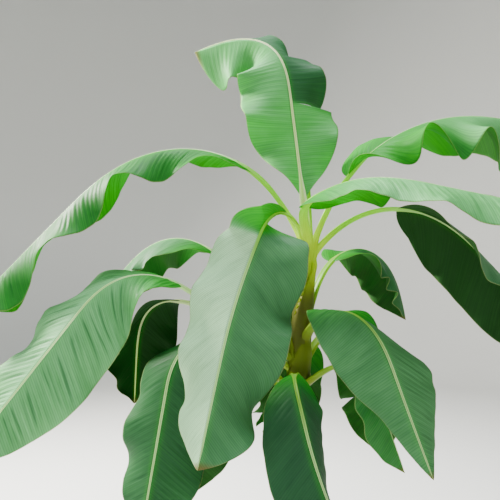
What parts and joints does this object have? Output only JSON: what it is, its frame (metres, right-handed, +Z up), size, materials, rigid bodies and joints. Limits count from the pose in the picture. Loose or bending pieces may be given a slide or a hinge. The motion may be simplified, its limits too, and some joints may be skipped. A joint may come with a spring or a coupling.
{
  "type": "banana plant",
  "caption": "Banana plant with a leaning stem of rolled leaf bases, channelled leaf stalks and long drooping blades that arch out to all sides",
  "frame": {"origin": "Centre of the flat cut under the stem, at ground level.", "axes": "+Z is up. The picture looks along +Y, with +X to its right, so the stem's top leans towards +X."},
  "size_m": [3.1412, 1.9108, 2.9768],
  "materials": {
    "stem": "papery brown and green sheaths, matt",
    "stalk": "smooth waxy green, satin",
    "blade": "ribbed green leaf with a pale waxy bloom"
  },
  "bodies": {
    "root": {"pseudostem": "stem", "top_stalk": "stalk", "left_arching_stalk": "stalk", "upper_right_stalk": "stalk", "front_right_stalk": "stalk", "front_hanging_stalk": "stalk", "right_arching_stalk": "stalk", "right_middle_stalk": "stalk", "right_low_stalk": "stalk", "front_low_stalk": "stalk", "left_low_stalk": "stalk", "left_big_stalk": "stalk", "left_inner_stalk": "stalk", "left_back_stalk": "stalk", "back_left_stalk": "stalk", "back_right_stalk": "stalk", "back_low_stalk": "stalk", "back_high_stalk": "stalk", "back_left_low_stalk": "stalk", "small_stalk": "stalk", "top_blade_inner": "blade", "top_blade_outer": "blade", "left_arching_blade_inner": "blade", "left_arching_blade_outer": "blade", "upper_right_blade_inner": "blade", "upper_right_blade_outer": "blade", "front_right_blade_inner": "blade", "front_right_blade_outer": "blade", "front_hanging_blade_inner": "blade", "front_hanging_blade_outer": "blade", "right_arching_blade_inner": "blade", "right_arching_blade_outer": "blade", "right_middle_blade_inner": "blade", "right_middle_blade_outer": "blade", "right_low_blade_inner": "blade", "right_low_blade_outer": "blade", "front_low_blade_inner": "blade", "front_low_blade_outer": "blade", "left_low_blade_inner": "blade", "left_low_blade_outer": "blade", "left_big_blade_inner": "blade", "left_big_blade_outer": "blade", "left_inner_blade_inner": "blade", "left_inner_blade_outer": "blade", "left_back_blade_inner": "blade", "left_back_blade_outer": "blade", "back_left_blade_inner": "blade", "back_left_blade_outer": "blade", "back_right_blade_inner": "blade", "back_right_blade_outer": "blade", "back_low_blade_inner": "blade", "back_low_blade_outer": "blade", "back_high_blade_inner": "blade", "back_high_blade_outer": "blade", "back_left_low_blade_inner": "blade", "back_left_low_blade_outer": "blade", "small_blade": "blade"}
  },
  "joints": []
}
